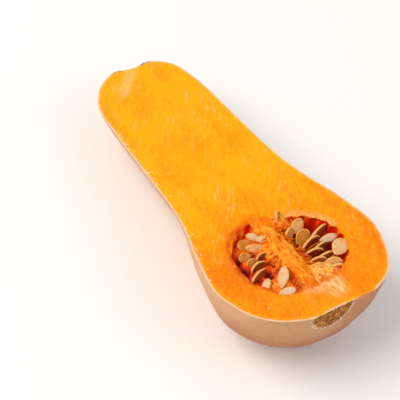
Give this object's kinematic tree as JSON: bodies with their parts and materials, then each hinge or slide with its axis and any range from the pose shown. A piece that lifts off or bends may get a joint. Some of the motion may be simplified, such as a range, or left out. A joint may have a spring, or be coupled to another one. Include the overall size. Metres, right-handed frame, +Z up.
{
  "type": "butternut squash half",
  "caption": "Lengthwise half of a butternut squash, cut face up: a long solid neck, a round bulb, and two hollow chambers in which the seeds lie.",
  "frame": {"origin": "on the table under the middle of the bounding box", "axes": "+X along the fruit from the stem end to the blossom end, +Z up, cut face up"},
  "size_m": [0.2494, 0.1194, 0.0667],
  "materials": {
    "flesh": "moist cut flesh, satin",
    "seed_coat": "smooth, slightly glossy when wet"
  },
  "bodies": {
    "root": {"flesh_and_rind": "flesh", "right_seed_cluster": "seed_coat", "left_seed_cluster": "seed_coat"}
  },
  "joints": []
}
